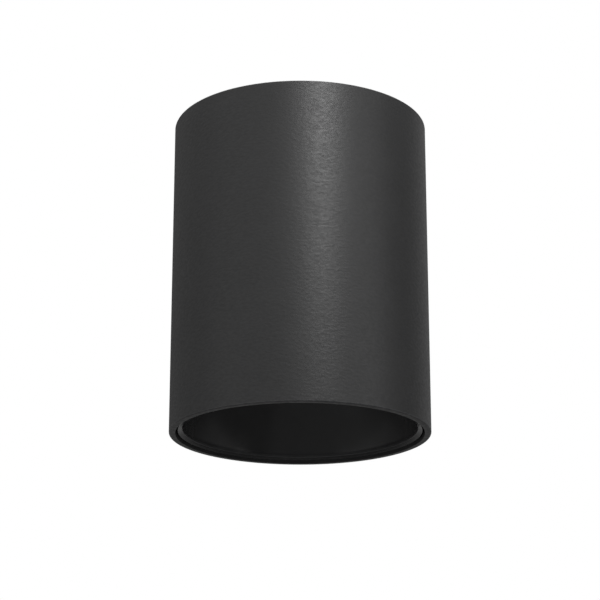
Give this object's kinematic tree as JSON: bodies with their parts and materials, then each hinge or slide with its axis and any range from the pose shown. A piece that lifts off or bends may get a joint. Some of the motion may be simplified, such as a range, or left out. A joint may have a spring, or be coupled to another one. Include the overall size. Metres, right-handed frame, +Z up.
{
  "type": "flush mount ceiling light",
  "caption": "Black cylinder surface downlight: ceiling bracket, finned LED engine, driver chamber and a recessed glossy reflector held by leaf springs.",
  "frame": {"origin": "centre of the ceiling bracket's top face, in the ceiling plane, on the axis of the tube", "axes": "+Z up into the ceiling along the tube's axis, +X along the bracket's strap towards an ear, the picture's viewer is towards -Y and below"},
  "size_m": [0.08, 0.08, 0.1],
  "materials": {
    "zinc_steel": "zinc plated sheet steel",
    "black_rubber": "moulded rubber",
    "powder_black": "black fine-texture powder coat on aluminium",
    "black_oxide_steel": "black oxide",
    "bare_aluminium": "bare extruded aluminium",
    "screw_steel": "bright zinc plate",
    "pad_grey": "silicone pad",
    "board_metal": "white coated aluminium board",
    "phosphor": "yellow phosphor gel",
    "holder_white": "moulded white plastic",
    "driver_white": "moulded white plastic",
    "circuit_green": "green solder resist",
    "winding_tape": "yellow winding tape",
    "capacitor_sleeve": "shrink sleeve",
    "natural_nylon": "natural nylon",
    "brass": "plain brass",
    "tinned_copper": "tinned copper",
    "spring_steel": "tempered spring steel",
    "lead_brown": "brown insulation",
    "lead_blue": "blue insulation",
    "lead_green_yellow": "green and yellow insulation",
    "lead_red": "red insulation",
    "lead_black": "black insulation",
    "reflector_black": "gloss black reflector",
    "clear_cover": "clear disc"
  },
  "bodies": {
    "bracket": {"ceiling_bracket": "zinc_steel", "cable_bush": "black_rubber"},
    "housing": {"housing_tube": "powder_black", "side_grub_screws": "black_oxide_steel", "heat_sink": "bare_aluminium", "heat_sink_screws": "screw_steel", "thermal_pad": "pad_grey", "led_board": "board_metal", "led_emitter": "phosphor", "led_holder": "holder_white", "led_holder_screws": "screw_steel", "driver_tray": "zinc_steel", "tray_screws": "screw_steel", "tray_grommet": "black_rubber", "driver_base": "driver_white", "driver_cover": "driver_white", "driver_board": "circuit_green", "driver_transformer": "winding_tape", "driver_capacitors": "capacitor_sleeve", "driver_screws": "screw_steel", "terminal_block": "natural_nylon", "terminal_clamps": "brass", "terminal_screws": "screw_steel", "terminal_fixing_screws": "screw_steel", "earth_ring": "tinned_copper", "earth_washer": "spring_steel", "earth_screw": "brass", "live_lead": "lead_brown", "neutral_lead": "lead_blue", "earth_lead": "lead_green_yellow", "led_lead_positive": "lead_red", "led_lead_negative": "lead_black"},
    "reflector": {"reflector": "reflector_black", "emitter_cover": "clear_cover", "reflector_springs": "spring_steel", "spring_rivets": "screw_steel"}
  },
  "joints": [
    {"name": "housing_drop", "type": "slide", "parent": "bracket", "child": "housing", "axis": [0, 0, -1], "range_m": [0, 0.05]},
    {"name": "reflector_pull", "type": "slide", "parent": "housing", "child": "reflector", "axis": [0, 0, -1], "range_m": [0, 0.045]}
  ]
}
